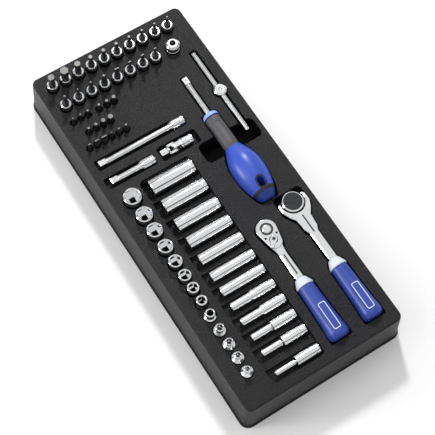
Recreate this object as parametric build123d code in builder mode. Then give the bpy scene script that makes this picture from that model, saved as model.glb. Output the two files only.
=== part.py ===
from build123d import *
import os
from math import cos, pi, radians, sin

os.makedirs("parts", exist_ok=True)

# Quarter-inch drive socket set in a moulded drawer tray.
# Origin: middle of the underside. +X across the tray, +Y along it, +Z up. Millimetres.

# Tray: one moulded shell, open underneath, that drops into a tool-chest drawer.
TOP_WIDTH = 180.0            # X, at the top face
TOP_LENGTH = 418.0           # Y, at the top face
TRAY_HEIGHT = 48.0
WALL_LEAN = 2.7              # how far a side wall leans out on its way down
FOOT_LEDGE = 1.0             # the foot stands out this much more
FOOT_HEIGHT = 3.0
CORNER = 7.0                 # plan radius at the top face
EDGE = 2.0                   # rounding between the top face and the walls
SHELL = 2.0                  # moulded wall thickness
POCKET_WALL = 1.5
LIP = 0.7                    # rounding of a pocket's mouth
FLOOR_ROUND = 0.8            # rounding of a pocket's floor
SNUG = 0.5                   # gap between a tool and its pocket
FLOOR_GAP = 0.3              # gap under a standing tool

# Quarter-inch drive and the standard hexagon shank.
DRIVE = 6.35
DRIVE_HOLE = 6.45
HEX_SHANK = 6.35

# Short sockets stand in one row, hexagon end up.
SHORT_X = -68.8
SHORT_HEIGHT = 25.0
SHORT_PROUD = 10.0
SHORT_ROW = [                # nominal size, Y of the axis, outside diameter of the nose
    (14, 36.6, 18.6), (13, 13.7, 17.2), (12, -6.1, 16.2), (11, -26.4, 15.2), (10, -44.8, 14.0),
    (9, -62.1, 12.8), (8, -77.4, 12.0), (7, -92.8, 11.0), (6, -108.1, 9.4), (5.5, -125.4, 8.7),
    (5, -141.9, 8.0), (4.5, -157.6, 7.5), (4, -173.6, 6.9),
]
SHORT_BASE = 12.0            # drive end of the small sizes
SMALL_SHOULDER = 9.6         # the shoulder of a small size stands this far below its rim

# Deep sockets lie along X in one bay, hexagon end towards -X.
DEEP_LEFT = -47.0
DEEP_LENGTH = 50.0
DEEP_AXIS_Z = TRAY_HEIGHT - 1.5
DEEP_ROW = [                 # nominal size, Y of the axis, nose diameter, drive end diameter
    (14, 38.0, 18.0, 18.0), (13, 13.6, 16.4, 16.4), (12, -10.2, 15.4, 15.4), (11, -32.5, 14.2, 14.2),
    (10, -54.1, 13.2, 13.2), (9, -75.3, 12.2, 12.2), (8, -93.5, 11.6, 11.6), (7, -111.7, 9.8, 11.6),
    (6, -129.8, 9.0, 11.6), (5.5, -148.3, 8.3, 11.6), (5, -166.5, 7.4, 11.6), (4, -189.7, 6.2, 11.6),
]
DEEP_STEP = 22.0             # length of the narrow nose of a small size
BAY_LEFT = -53.0
BAY_RIGHT = 4.8
BAY_NEAR = -198.2
BAY_FAR = 50.0
BAY_DEPTH = 4.0              # the ribs between the deep sockets stand this far below the top face
RIB = 3.4                    # width of a rib
SCALLOP = 0.9                # each trough bites this far into the bay's left edge

# Bit sockets: a chromed sleeve with a bit pressed in, square end down.
SLEEVE_DIAMETER = 11.6
SLEEVE_BORE = 8.0
SLEEVE_LENGTH = 21.5
SLEEVE_PROUD = 8.0
SLEEVE_BORE_DEPTH = 6.0
BIT_REACH = 15.0             # how far a bit stands above its sleeve
FAR_ROW_Y = 190.0
FAR_ROW_X = [-73.4 + 15.5 * place for place in range(10)]
FAR_ROW_TIPS = [6.5, 8.0, 6.0, 4.0, 3.9, 3.3, 2.8, 2.4, 2.0, 1.7]
FAR_ROW_HEX = 4              # the first four are hexagon bits, the others are stars
NEAR_ROW_Y = 163.7
NEAR_ROW_X = [-72.6 + 15.45 * place for place in range(8)]
NEAR_ROW_TIPS = [4.5, 3.0, 4.0, 5.5, 4.5, 3.0, 3.5, 2.5]
NEAR_ROW_CROSS = 4         # the first four are cross bits, the others are blades

# Bit holder: quarter-inch square to a 6.35 mm hexagon.
HOLDER_AT = (58.2, 166.0)
HOLDER_DIAMETER = 15.0
HOLDER_PROUD = 10.5
HOLDER_LENGTH = 24.0

# Loose bits stand in small round pockets.
BIT_PITCH = 8.6
BIT_LENGTH = 25.0
BIT_PROUD = 10.0
STAR_BITS_Y = 143.6
STAR_BITS_X = [-75.4, -66.8, -58.2, -45.0, -35.6, -27.2]
STAR_BITS_TIPS = [1.7, 2.0, 2.4, 2.8, 3.3, 3.9]
HEX_BITS_Y = 125.6
HEX_BITS_X = [-67.4 + BIT_PITCH * place for place in range(4)]
HEX_BITS_TIPS = [2.5, 3.0, 4.0, 5.0]
SCREW_BITS_Y = 109.0
SCREW_BITS_X = [-76.0 + BIT_PITCH * place for place in range(6)]
SCREW_BITS_TIPS = [3.0, 4.5, 5.5, 3.0, 4.0, 5.0]
SCREW_BITS_BLADES = 3        # the first three are blades, the others are cross bits

# Extension bars and the universal joint lie along X.
LONG_BAR_Y = 88.0
LONG_BAR_X = (-77.5, 22.8)
SHORT_BAR_Y = 65.0
SHORT_BAR_X = (-77.0, -26.4)
BAR_AXIS_Z = TRAY_HEIGHT - 1.0
BAR_DIAMETER = 7.0
BAR_HEAD = 11.3              # outside diameter of the female end
BAR_HEAD_LENGTH = 14.0
UNIVERSAL_Y = 65.0
UNIVERSAL_CROSS_X = -1.9
UNIVERSAL_DIAMETER = 12.4

# Sliding T-handle: a bar along Y through a round head whose square points down.
T_X = 73.5
T_BAR_Y = (42.6, 149.8)
T_AXIS_Z = 46.0
T_BAR_DIAMETER = 6.0
T_HEAD_Y = 96.5
T_HEAD_DIAMETER = 14.0
T_HEAD_Z = (38.0, 51.8)
T_SQUARE_LENGTH = 7.5

# Spinner handle along Y.
SPINNER_X = 48.4
SPINNER_TIP_Y = 128.2
SPINNER_AXIS_Z = TRAY_HEIGHT
SPINNER_SHANK = 6.0
SPINNER_NECK_Y = 78.5
SPINNER_CORE_Y = (32.5, 73.0)
SPINNER_CORE_DIAMETER = 16.8
SPINNER_END_Y = -34.5
SPINNER_GRIP_DIAMETER = 34.4
SPINNER_HOLE_Y = -18.5
SPINNER_STEM = 6.2           # radius of the grip's stem inside the core
SPINNER_BURIED = 12.0        # how deep the shank is set in the stem

# Ratchet along Y, drive pointing down.
RATCHET_X = 26.8
RATCHET_HEAD_Y = -62.0
RATCHET_AXIS_Z = 47.0
RATCHET_HEAD_RADIUS = 11.0
RATCHET_HEAD_Z = (41.6, 52.0)
RATCHET_LEVER_Y = RATCHET_HEAD_Y - 13.0
RATCHET_GRIP_Y = (-132.0, -193.8)
RATCHET_COLLAR_Y = -122.5
GRIP_DIAMETERS = (17.8, 22.8)    # at the collar and at the butt
TANG_WIDTH = 8.0                 # the bar inside the collar and the grip
TANG_THICKNESS = 6.4
TANG_LENGTH = 30.0               # how far it reaches into the grip
GEAR_TEETH = 36
RATCHET_SQUARE_LENGTH = 9.0
LEVER_ANGLE = -133.0             # rest direction of the lever, from +X towards +Y
NECK_HALF_THICK = 3.6
NECK_ROOM = 5.8                  # half width of the pocket round the neck
NECK_GROOVE = (1.8, 0.8)         # width and depth of the groove along a neck
NECK_GROOVE_Y = (-92.0, -118.0)
NECK_BEVEL = 1.0

# Flex-head ratchet along Y, drive pointing down.
FLEX_X = 66.2
FLEX_HEAD_Y = -50.5
FLEX_HEAD_RADIUS = 11.4
FLEX_HEAD_HALF = 4.6             # half the thickness of the head
FLEX_CROTCH = 12.7               # radius of the fork's throat, clear of the tilting head
FLEX_TIP = 11.9                  # the square's tip, below the hinge
FLEX_FORK_HALF = 15.8
FLEX_PIN = 3.6
FLEX_GRIP_Y = (-132.4, -194.0)
FLEX_COLLAR_Y = -122.8
FLEX_HALF_THICK = 4.3            # the fork
FLEX_GROOVE_Y = (-66.5, -90.0)
FORK_BEVEL = 0.8

# Finger well that crosses under the spinner and the T-bar: X and Y limits, then depth
FINGER_WELL = (18.2, 84.2, 30.0, 54.0)
FINGER_WELL_DEPTH = 30.0


def along_x(x, y, z):
    """Plane whose x runs along +X and whose y runs up: for shapes turned about an axis along X."""
    return Plane(origin=(x, y, z), x_dir=(1, 0, 0), z_dir=(0, -1, 0))


def along_y(x, y, z):
    """Plane whose x runs along -Y and whose y runs up: for shapes turned about an axis along Y."""
    return Plane(origin=(x, y, z), x_dir=(0, -1, 0), z_dir=(-1, 0, 0))


def upright(x, y, z):
    """Plane whose x runs up: for shapes turned about a vertical axis."""
    return Plane(origin=(x, y, z), x_dir=(0, 0, 1), z_dir=(0, -1, 0))


def turn(plane, stations, mode=Mode.ADD):
    """Turns an outline of (distance along the axis, radius) stations about the plane's x axis."""
    with BuildSketch(plane) as outline:
        with BuildLine():
            Polyline((stations[0][0], 0), *stations, (stations[-1][0], 0), close=True)
        make_face()
    revolve(outline.sketch, axis=Axis(plane.origin, plane.x_dir), mode=mode)


def turn_curve(plane, stations):
    """Like turn, with a smooth curve through the stations."""
    with BuildSketch(plane) as outline:
        with BuildLine():
            Spline(*stations)
            Polyline(stations[-1], (stations[-1][0], 0), (stations[0][0], 0), stations[0])
        make_face()
    revolve(outline.sketch, axis=Axis(plane.origin, plane.x_dir))


def bore_square(plane, depth):
    """Cuts a square drive hole along the plane's normal."""
    with BuildSketch(plane) as hole:
        Rectangle(DRIVE_HOLE, DRIVE_HOLE)
    extrude(hole.sketch, amount=depth, mode=Mode.SUBTRACT)


def bore_hexagon(plane, size, depth):
    """Cuts a hexagon hole along the plane's normal."""
    with BuildSketch(plane) as hole:
        RegularPolygon(radius=size / 2, side_count=6, major_radius=False)
    extrude(hole.sketch, amount=depth, mode=Mode.SUBTRACT)


def drive_square(plane, length):
    """Adds a square drive along the plane's normal, with its detent ball and a bevelled tip."""
    bevel = 0.7
    with BuildSketch(plane) as shaft:
        RectangleRounded(DRIVE, DRIVE, 0.5)
    extrude(shaft.sketch, amount=length - bevel)
    with BuildSketch(plane.offset(length - bevel)) as tip:
        Rectangle(DRIVE, DRIVE)
    extrude(tip.sketch, amount=bevel, taper=40)
    with Locations(plane.offset(length * 0.55)):
        with Locations((DRIVE / 2 - 0.5, 0, 0)):
            Sphere(1.25, rotation=(0, 90, 0))


def save(part, name):
    part.label = name
    export_step(part, f"parts/{name}.step")


def size_name(size):
    return f"{size}mm".replace(".", "_")


# ---------------------------------------------------------------- tray

def strip(axis_x, stations, corner):
    """Flat outline along Y: (y, half width) stations on both sides of an axis, corners rounded."""
    left = [(axis_x - half, y) for y, half in stations]
    right = [(axis_x + half, y) for y, half in reversed(stations)]
    with BuildSketch(Plane.XY) as outline:
        with BuildLine():
            Polyline(*left, *right, close=True)
        make_face()
        fillet(outline.vertices(), corner)
    return outline.sketch


def block(x_low, x_high, y_low, y_high, corner):
    """Flat rounded rectangle between its limits."""
    with BuildSketch(Plane.XY) as outline:
        with Locations(((x_low + x_high) / 2, (y_low + y_high) / 2)):
            RectangleRounded(x_high - x_low, y_high - y_low, corner)
    return outline.sketch


def discs(places, radius):
    """Flat round outlines, one at each place."""
    with BuildSketch(Plane.XY) as outline:
        with Locations(*places):
            Circle(radius)
    return outline.sketch


def short_base(nose):
    """Diameter of a short socket's drive end."""
    return max(nose, SHORT_BASE)


loose_bit_places = [(x, STAR_BITS_Y) for x in STAR_BITS_X]
loose_bit_places += [(x, HEX_BITS_Y) for x in HEX_BITS_X]
loose_bit_places += [(x, SCREW_BITS_Y) for x in SCREW_BITS_X]
bit_socket_places = [(x, FAR_ROW_Y) for x in FAR_ROW_X] + [(x, NEAR_ROW_Y) for x in NEAR_ROW_X]

# Each pocket is an outline and how deep it goes below the top face.
pockets = [(discs([HOLDER_AT], HOLDER_DIAMETER / 2 + 0.9), HOLDER_LENGTH - HOLDER_PROUD + FLOOR_GAP)]
for place in bit_socket_places:
    pockets.append((discs([place], SLEEVE_DIAMETER / 2 + 1.0), SLEEVE_LENGTH - SLEEVE_PROUD + FLOOR_GAP))
for place in loose_bit_places:
    pockets.append((discs([place], 4.0), BIT_LENGTH - BIT_PROUD + FLOOR_GAP))
for size, y, nose in SHORT_ROW:
    radius = short_base(nose) / 2 + 0.9
    pockets.append((discs([(SHORT_X, y)], radius), SHORT_HEIGHT - SHORT_PROUD + FLOOR_GAP))

# Bay of the deep sockets: a shallow recess, with a deeper trough for each socket.
pockets.append((block(BAY_LEFT, BAY_RIGHT, BAY_NEAR, BAY_FAR, 4.0), BAY_DEPTH))
troughs = []
trough_edges = [BAY_FAR]
for above, below in zip(DEEP_ROW[:-1], DEEP_ROW[1:]):
    trough_edges.append((above[1] - above[3] / 2 + below[1] + below[3] / 2) / 2)
trough_edges.append(BAY_NEAR)
for (size, y, nose, base), far, near in zip(DEEP_ROW, trough_edges[:-1], trough_edges[1:]):
    top = min(far - RIB / 2, y + base / 2 + 2.0)
    bottom = max(near + RIB / 2, y - base / 2 - 2.0)
    depth = TRAY_HEIGHT - DEEP_AXIS_Z + base / 2 + SNUG
    troughs.append((block(BAY_LEFT - SCALLOP, BAY_RIGHT - 0.3, bottom, top, 2.0), depth))

bar_depth = TRAY_HEIGHT - BAR_AXIS_Z + BAR_HEAD / 2 + SNUG
universal_depth = TRAY_HEIGHT - BAR_AXIS_Z + UNIVERSAL_DIAMETER / 2 + SNUG
pockets += [
    (block(-81.0, 24.2, 81.6, 94.0, 2.5), bar_depth),
    (block(-83.0, -25.4, 58.4, 71.4, 2.5), bar_depth),
    (block(-19.6, 26.0, 56.6, 73.4, 2.5), universal_depth),
]

# Finger well that crosses under the spinner and the T-bar.
pockets.append((block(*FINGER_WELL, 6.0), FINGER_WELL_DEPTH))

# T-handle trough, its head's round pocket and the deeper pocket of the square.
t_trough_depth = TRAY_HEIGHT - T_AXIS_Z + T_BAR_DIAMETER / 2 + SNUG
pockets += [
    (block(T_X - 4.6, T_X + 4.6, 40.0, 152.6, 3.0), t_trough_depth),
    (discs([(T_X, T_HEAD_Y)], T_HEAD_DIAMETER / 2 + 1.2), TRAY_HEIGHT - T_HEAD_Z[0] + SNUG),
    (discs([(T_X, T_HEAD_Y)], 5.4), TRAY_HEIGHT - T_HEAD_Z[0] + T_SQUARE_LENGTH + SNUG),
]

# Spinner: shank trough, core and grip.
spinner_grip_outline = strip(
    SPINNER_X,
    [(34.0, 10.2), (24.0, 15.0), (14.0, 17.8), (2.0, 18.2), (-10.0, 17.4), (-24.0, 14.6), (-36.0, 10.4)],
    3.5,
)
pockets += [
    (block(SPINNER_X - 4.4, SPINNER_X + 4.4, 74.0, 130.4, 2.0), SPINNER_SHANK / 2 + 1.2),
    (block(SPINNER_X - 9.6, SPINNER_X + 9.6, 28.0, 80.2, 2.5), SPINNER_CORE_DIAMETER / 2 + 1.2),
    (spinner_grip_outline, SPINNER_GRIP_DIAMETER / 2 + SNUG),
]


def grip_outline(axis_x, collar_y, butt_y):
    """Pocket outline of a ratchet's collar and grip."""
    wide = GRIP_DIAMETERS[1] / 2 + 1.0
    stations = [(collar_y + 1.0, 7.0), (collar_y - 6.0, 10.6), (collar_y - 30.0, 10.8), (butt_y - 1.4, wide)]
    return strip(axis_x, stations, 2.0)


head_depth = TRAY_HEIGHT - RATCHET_HEAD_Z[0] + SNUG
grip_depth = TRAY_HEIGHT - RATCHET_AXIS_Z + GRIP_DIAMETERS[1] / 2 + SNUG
pockets += [
    (discs([(RATCHET_X, RATCHET_HEAD_Y)], RATCHET_HEAD_RADIUS + 1.0), head_depth),
    (strip(RATCHET_X, [(-60.0, 11.8), (-77.0, 10.0), (-88.0, NECK_ROOM), (-124.0, NECK_ROOM)], 2.0),
     head_depth),
    (discs([(RATCHET_X, RATCHET_HEAD_Y)], 5.6), head_depth + RATCHET_SQUARE_LENGTH),
    (grip_outline(RATCHET_X, RATCHET_COLLAR_Y, RATCHET_GRIP_Y[1]), grip_depth),
]

# Flex-head ratchet: the head's pocket is deep enough for the head to tilt in it.
flex_half = FLEX_FORK_HALF + 0.9
flex_room = FLEX_CROTCH + 0.5
pockets += [
    (block(FLEX_X - flex_half, FLEX_X + flex_half, FLEX_HEAD_Y - flex_room, FLEX_HEAD_Y + flex_room, 5.0),
     TRAY_HEIGHT - RATCHET_AXIS_Z + flex_room),
    (strip(
        FLEX_X,
        [(-58.0, 16.4), (-66.0, 13.2), (-72.0, 9.2), (-84.0, 8.6), (-90.0, 6.2), (-124.0, 6.2)],
        1.5,
    ), head_depth),
    (grip_outline(FLEX_X, FLEX_COLLAR_Y, FLEX_GRIP_Y[1]), grip_depth),
]



def pocket_wall(outline, depth):
    """The moulded wall and floor round one pocket, still solid."""
    with BuildPart() as wall:
        with BuildSketch(Plane.XY.offset(TRAY_HEIGHT - depth - POCKET_WALL)):
            add(offset(outline, amount=POCKET_WALL, mode=Mode.PRIVATE))
        extrude(amount=depth + POCKET_WALL - SHELL / 2)
    return wall.part


def pocket_room(outline, depth):
    """The space of one pocket, with a rounded mouth and a rounded floor."""
    with BuildPart() as room:
        with BuildSketch(Plane.XY.offset(TRAY_HEIGHT - depth)):
            add(outline)
        extrude(amount=depth)
        fillet(room.edges().group_by(Axis.Z)[0], FLOOR_ROUND)
        with BuildSketch(Plane.XY.offset(TRAY_HEIGHT)):
            add(offset(outline, amount=LIP + 0.3, mode=Mode.PRIVATE))
        extrude(amount=1.0)
        ledge = room.faces().filter_by(Axis.Z).group_by(Axis.Z)[1][0]
        fillet(ledge.inner_wires().edges(), LIP)
    return room.part


with BuildPart() as tray:
    with BuildSketch(Plane.XY):
        RectangleRounded(
            TOP_WIDTH + 2 * (WALL_LEAN + FOOT_LEDGE), TOP_LENGTH + 2 * (WALL_LEAN + FOOT_LEDGE), CORNER + 2.5
        )
    extrude(amount=FOOT_HEIGHT)
    with BuildSketch(Plane.XY.offset(FOOT_HEIGHT)):
        RectangleRounded(TOP_WIDTH + 2 * WALL_LEAN, TOP_LENGTH + 2 * WALL_LEAN, CORNER + 1.5)
    with BuildSketch(Plane.XY.offset(TRAY_HEIGHT)):
        RectangleRounded(TOP_WIDTH, TOP_LENGTH, CORNER)
    loft()
    fillet(tray.edges().group_by(Axis.Z)[-1], EDGE)
    # the hollow underside
    with BuildSketch(Plane.XY):
        RectangleRounded(TOP_WIDTH + 2 * (WALL_LEAN - SHELL), TOP_LENGTH + 2 * (WALL_LEAN - SHELL), CORNER)
    with BuildSketch(Plane.XY.offset(TRAY_HEIGHT - SHELL)):
        RectangleRounded(TOP_WIDTH - 2 * SHELL, TOP_LENGTH - 2 * SHELL, CORNER - SHELL)
    loft(mode=Mode.SUBTRACT)
    # the pockets' walls and floors, then the pockets themselves
    add([pocket_wall(outline, depth) for outline, depth in pockets + troughs])
    add([pocket_room(outline, depth) for outline, depth in pockets + troughs], mode=Mode.SUBTRACT)
save(tray.part, "tray")

# ---------------------------------------------------------------- sockets

for size, y, nose in SHORT_ROW:
    low = TRAY_HEIGHT + SHORT_PROUD - SHORT_HEIGHT
    base = short_base(nose)
    shoulder = SHORT_HEIGHT - SMALL_SHOULDER
    rim = 0.6
    outline = [(0, base / 2 - 0.7), (0.7, base / 2)]
    # the grip ring round the drive end
    outline += [(4.0, base / 2), (4.4, base / 2 - 0.35), (5.6, base / 2 - 0.35), (6.0, base / 2)]
    if nose < base:
        outline += [(shoulder, base / 2), (shoulder + 1.2, nose / 2)]
    outline += [(SHORT_HEIGHT - rim, nose / 2), (SHORT_HEIGHT, nose / 2 - rim)]
    hexagon_depth = 11.0 if size >= 6 else 8.0
    with BuildPart() as socket:
        turn(upright(SHORT_X, y, low), outline)
        bore_square(Plane.XY.offset(low).move(Location((SHORT_X, y, 0))), 14.5 if size >= 6 else 9.5)
        bore_hexagon(
            Plane(origin=(SHORT_X, y, low + SHORT_HEIGHT), z_dir=(0, 0, -1)), size + 0.1, hexagon_depth
        )
        # lead-in of the hexagon
        lead = (size + 0.1) / 2 / cos(pi / 6)
        turn(
            upright(SHORT_X, y, low + SHORT_HEIGHT),
            [(-0.8, lead - 0.8), (0.01, lead + 0.01)],
            mode=Mode.SUBTRACT,
        )
    save(socket.part, "short_socket_" + size_name(size))

for size, y, nose, base in DEEP_ROW:
    rim = 0.6
    outline = [(0, nose / 2 - rim), (rim, nose / 2)]
    if nose < base:
        outline += [(DEEP_STEP, nose / 2), (DEEP_STEP + 1.4, base / 2)]
    # the grip ring near the drive end
    outline += [(DEEP_LENGTH - 6.2, base / 2), (DEEP_LENGTH - 5.8, base / 2 - 0.4)]
    outline += [(DEEP_LENGTH - 4.8, base / 2 - 0.4), (DEEP_LENGTH - 4.4, base / 2)]
    outline += [(DEEP_LENGTH - 0.8, base / 2), (DEEP_LENGTH, base / 2 - 0.8)]
    with BuildPart() as socket:
        turn(along_x(DEEP_LEFT, y, DEEP_AXIS_Z), outline)
        bore_square(
            Plane(origin=(DEEP_LEFT + DEEP_LENGTH, y, DEEP_AXIS_Z), x_dir=(0, 1, 0), z_dir=(-1, 0, 0)),
            28.0 if size >= 6 else 10.0,
        )
        bore_hexagon(
            Plane(origin=(DEEP_LEFT, y, DEEP_AXIS_Z), x_dir=(0, 1, 0), z_dir=(1, 0, 0)),
            size + 0.1,
            23.0 if size >= 6 else 14.0,
        )
        lead = (size + 0.1) / 2 / cos(pi / 6)
        turn(
            along_x(DEEP_LEFT, y, DEEP_AXIS_Z),
            [(-0.01, lead + 0.01), (0.8, lead - 0.8)],
            mode=Mode.SUBTRACT,
        )
    save(socket.part, "deep_socket_" + size_name(size))

# ---------------------------------------------------------------- bits

def sleeves(places, name):
    """One chromed sleeve at each place, square hole below, round bore above."""
    low = TRAY_HEIGHT + SLEEVE_PROUD - SLEEVE_LENGTH
    radius = SLEEVE_DIAMETER / 2
    outline = [(0, radius - 0.6), (0.6, radius), (SLEEVE_LENGTH - 0.7, radius), (SLEEVE_LENGTH, radius - 0.7)]
    with BuildPart() as row:
        for x, y in places:
            turn(upright(x, y, low), outline)
        with BuildSketch(Plane.XY.offset(low)):
            with Locations(*places):
                Rectangle(DRIVE_HOLE, DRIVE_HOLE)
        extrude(amount=9.5, mode=Mode.SUBTRACT)
        with BuildSketch(Plane.XY.offset(low + SLEEVE_LENGTH)):
            with Locations(*places):
                Circle(SLEEVE_BORE / 2)
        extrude(amount=-SLEEVE_BORE_DEPTH, mode=Mode.SUBTRACT)
    save(row.part, name)


def shank(x, y, low, length):
    """Hexagon shank of a bit."""
    with BuildSketch(Plane.XY.offset(low)) as section:
        with Locations((x, y)):
            RegularPolygon(radius=HEX_SHANK / 2, side_count=6, major_radius=False)
    extrude(section.sketch, amount=length)


def cone(x, y, low, high, wide, narrow):
    """Round taper between two heights."""
    turn(upright(x, y, low), [(0, wide / 2), (high - low, narrow / 2)])


def hexagon_tip(x, y, low, high, size):
    with BuildSketch(Plane.XY.offset(low)) as section:
        with Locations((x, y)):
            RegularPolygon(radius=size / 2, side_count=6, major_radius=False)
    extrude(section.sketch, amount=high - low)


def star_tip(x, y, low, high, size):
    """Six-lobed tip."""
    with BuildSketch(Plane.XY.offset(low)) as section:
        with Locations((x, y)):
            Circle(size / 2)
            with PolarLocations(size * 0.62, 6):
                Circle(size * 0.2, mode=Mode.SUBTRACT)
    extrude(section.sketch, amount=high - low)


def cross_tip(x, y, low, high, size):
    """Four wings that taper to a blunt point."""
    with BuildSketch(Plane.XY.offset(low)) as section:
        with Locations((x, y)):
            Rectangle(size, size * 0.3)
            Rectangle(size * 0.3, size)
            Circle(size * 0.3)
    extrude(section.sketch, amount=high - low, taper=6)


def blade_tip(x, y, low, high, size):
    """Flat blade, as wide as its size."""
    with BuildSketch(Plane.XY.offset(low)) as section:
        with Locations((x, y)):
            Rectangle(size, 1.0 + size * 0.06)
    extrude(section.sketch, amount=high - low)


def bit(x, y, low, high, size, tip):
    """A hexagon-shank bit that stands on its shank."""
    grip_top = low + (high - low) * 0.42
    neck_top = high - max(3.0, size * 1.1)
    neck = min(max(size * 1.15, 2.6), HEX_SHANK)
    shank(x, y, low, grip_top - low)
    cone(x, y, grip_top - 0.01, grip_top + 1.6, max(HEX_SHANK, neck), neck)
    cone(x, y, grip_top + 1.55, neck_top, neck, max(neck * 0.9, size * 0.9))
    tip(x, y, neck_top - 0.05, high, size)


far_places = [(x, FAR_ROW_Y) for x in FAR_ROW_X]
near_places = [(x, NEAR_ROW_Y) for x in NEAR_ROW_X]
sleeves(far_places, "key_bit_sleeves")
sleeves(near_places, "screw_bit_sleeves")

pressed_low = TRAY_HEIGHT + SLEEVE_PROUD - SLEEVE_BORE_DEPTH
pressed_high = TRAY_HEIGHT + SLEEVE_PROUD + BIT_REACH
with BuildPart() as key_bits:
    for place, (x, size) in enumerate(zip(FAR_ROW_X, FAR_ROW_TIPS)):
        tip = hexagon_tip if place < FAR_ROW_HEX else star_tip
        bit(x, FAR_ROW_Y, pressed_low, pressed_high, size, tip)
save(key_bits.part, "key_bits")

with BuildPart() as screw_bits:
    for place, (x, size) in enumerate(zip(NEAR_ROW_X, NEAR_ROW_TIPS)):
        tip = cross_tip if place < NEAR_ROW_CROSS else blade_tip
        bit(x, NEAR_ROW_Y, pressed_low, pressed_high, size, tip)
save(screw_bits.part, "screw_bits")

loose_low = TRAY_HEIGHT + BIT_PROUD - BIT_LENGTH
loose_high = TRAY_HEIGHT + BIT_PROUD
with BuildPart() as loose_star_bits:
    for x, size in zip(STAR_BITS_X, STAR_BITS_TIPS):
        bit(x, STAR_BITS_Y, loose_low, loose_high, size, star_tip)
save(loose_star_bits.part, "loose_star_bits")

with BuildPart() as loose_hexagon_bits:
    for x, size in zip(HEX_BITS_X, HEX_BITS_TIPS):
        bit(x, HEX_BITS_Y, loose_low, loose_high, size, hexagon_tip)
save(loose_hexagon_bits.part, "loose_hexagon_bits")

with BuildPart() as loose_screw_bits:
    for place, (x, size) in enumerate(zip(SCREW_BITS_X, SCREW_BITS_TIPS)):
        tip = blade_tip if place < SCREW_BITS_BLADES else cross_tip
        bit(x, SCREW_BITS_Y, loose_low, loose_high, size, tip)
save(loose_screw_bits.part, "loose_screw_bits")

holder_x, holder_y = HOLDER_AT
holder_low = TRAY_HEIGHT + HOLDER_PROUD - HOLDER_LENGTH
holder_radius = HOLDER_DIAMETER / 2
with BuildPart() as bit_holder:
    turn(
        upright(holder_x, holder_y, holder_low),
        [(0, 5.4), (0.6, 6.0), (9.0, 6.0), (11.0, holder_radius), (15.0, holder_radius),
         (15.4, holder_radius - 0.4), (16.6, holder_radius - 0.4), (17.0, holder_radius),
         (HOLDER_LENGTH - 2.2, holder_radius), (HOLDER_LENGTH, holder_radius - 2.2)],
    )
    bore_square(Plane(origin=(holder_x, holder_y, holder_low)), 12.5)
    bore_hexagon(
        Plane(origin=(holder_x, holder_y, holder_low + HOLDER_LENGTH), z_dir=(0, 0, -1)),
        HEX_SHANK + 0.2,
        12.0,
    )
save(bit_holder.part, "bit_holder")

# ---------------------------------------------------------------- extension bars, universal joint

def extension_bar(ends, y, name):
    """Male square at the low x end, female square at the high x end."""
    left, right = ends
    length = right - left
    square = 8.0
    head_start = length - BAR_HEAD_LENGTH
    bar = BAR_DIAMETER / 2
    head = BAR_HEAD / 2
    outline = [(square, bar - 0.7), (square + 0.7, bar), (head_start - 4.0, bar), (head_start, head)]
    outline += [(length - 5.2, head), (length - 4.9, head - 0.3), (length - 4.0, head - 0.3)]
    outline += [(length - 3.7, head), (length - 0.6, head), (length, head - 0.6)]
    with BuildPart() as bar_part:
        turn(along_x(left, y, BAR_AXIS_Z), outline)
        drive_square(
            Plane(origin=(left + square, y, BAR_AXIS_Z), x_dir=(0, 0, 1), z_dir=(-1, 0, 0)), square
        )
        bore_square(Plane(origin=(right, y, BAR_AXIS_Z), x_dir=(0, 1, 0), z_dir=(-1, 0, 0)), 9.5)
    save(bar_part.part, name)


extension_bar(LONG_BAR_X, LONG_BAR_Y, "long_extension")
extension_bar(SHORT_BAR_X, SHORT_BAR_Y, "short_extension")

fork_ring = UNIVERSAL_DIAMETER / 2
ear_inner = 3.0
ear_outer = 5.6
ear_width = 5.2
fork_gap = 6.7               # the forks' inner faces stay this far from the cross's centre
cross_at = (UNIVERSAL_CROSS_X, UNIVERSAL_Y, BAR_AXIS_Z)
pin_radius = 1.35


def fork_ears(towards, across):
    """Two ears with pin holes; towards is -1 or +1 along X, across is the pins' direction."""
    centre = Vector(*cross_at)
    side = Vector(*across)
    for sign in (-1, 1):
        face = Plane(origin=centre + side * (sign * ear_inner), x_dir=(1, 0, 0), z_dir=side * sign)
        with BuildSketch(face) as ear:
            Circle(ear_width / 2)
            with Locations((towards * fork_gap / 2, 0)):
                Rectangle(fork_gap, ear_width)
        extrude(ear.sketch, amount=ear_outer - ear_inner)
    with BuildSketch(Plane(origin=centre - side * 8, z_dir=side)) as hole:
        Circle(pin_radius + 0.03)
    extrude(hole.sketch, amount=16, mode=Mode.SUBTRACT)


with BuildPart() as universal_female:
    start = fork_gap
    end = 21.0
    turn(
        along_x(UNIVERSAL_CROSS_X, UNIVERSAL_Y, BAR_AXIS_Z),
        [(start, fork_ring - 0.4), (start + 0.4, fork_ring), (start + 1.8, fork_ring), (start + 2.6, 5.65),
         (end - 5.2, 5.65), (end - 4.9, 5.35), (end - 4.0, 5.35), (end - 3.7, 5.65), (end - 0.6, 5.65),
         (end, 5.05)],
    )
    fork_ears(1, (0, 0, 1))
    bore_square(
        Plane(origin=(UNIVERSAL_CROSS_X + end, UNIVERSAL_Y, BAR_AXIS_Z), x_dir=(0, 1, 0), z_dir=(-1, 0, 0)), 9.5
    )
save(universal_female.part, "universal_female_fork")

with BuildPart() as universal_cross:
    with Locations(cross_at):
        Box(5.0, 5.6, 5.6)
    with BuildSketch(Plane(origin=(UNIVERSAL_CROSS_X, UNIVERSAL_Y, BAR_AXIS_Z - 5.5))):
        Circle(pin_radius)
    extrude(amount=11.0)
    with BuildSketch(Plane(origin=(UNIVERSAL_CROSS_X, UNIVERSAL_Y - 5.5, BAR_AXIS_Z), z_dir=(0, 1, 0))):
        Circle(pin_radius)
    extrude(amount=11.0)
save(universal_cross.part, "universal_cross")

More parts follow.
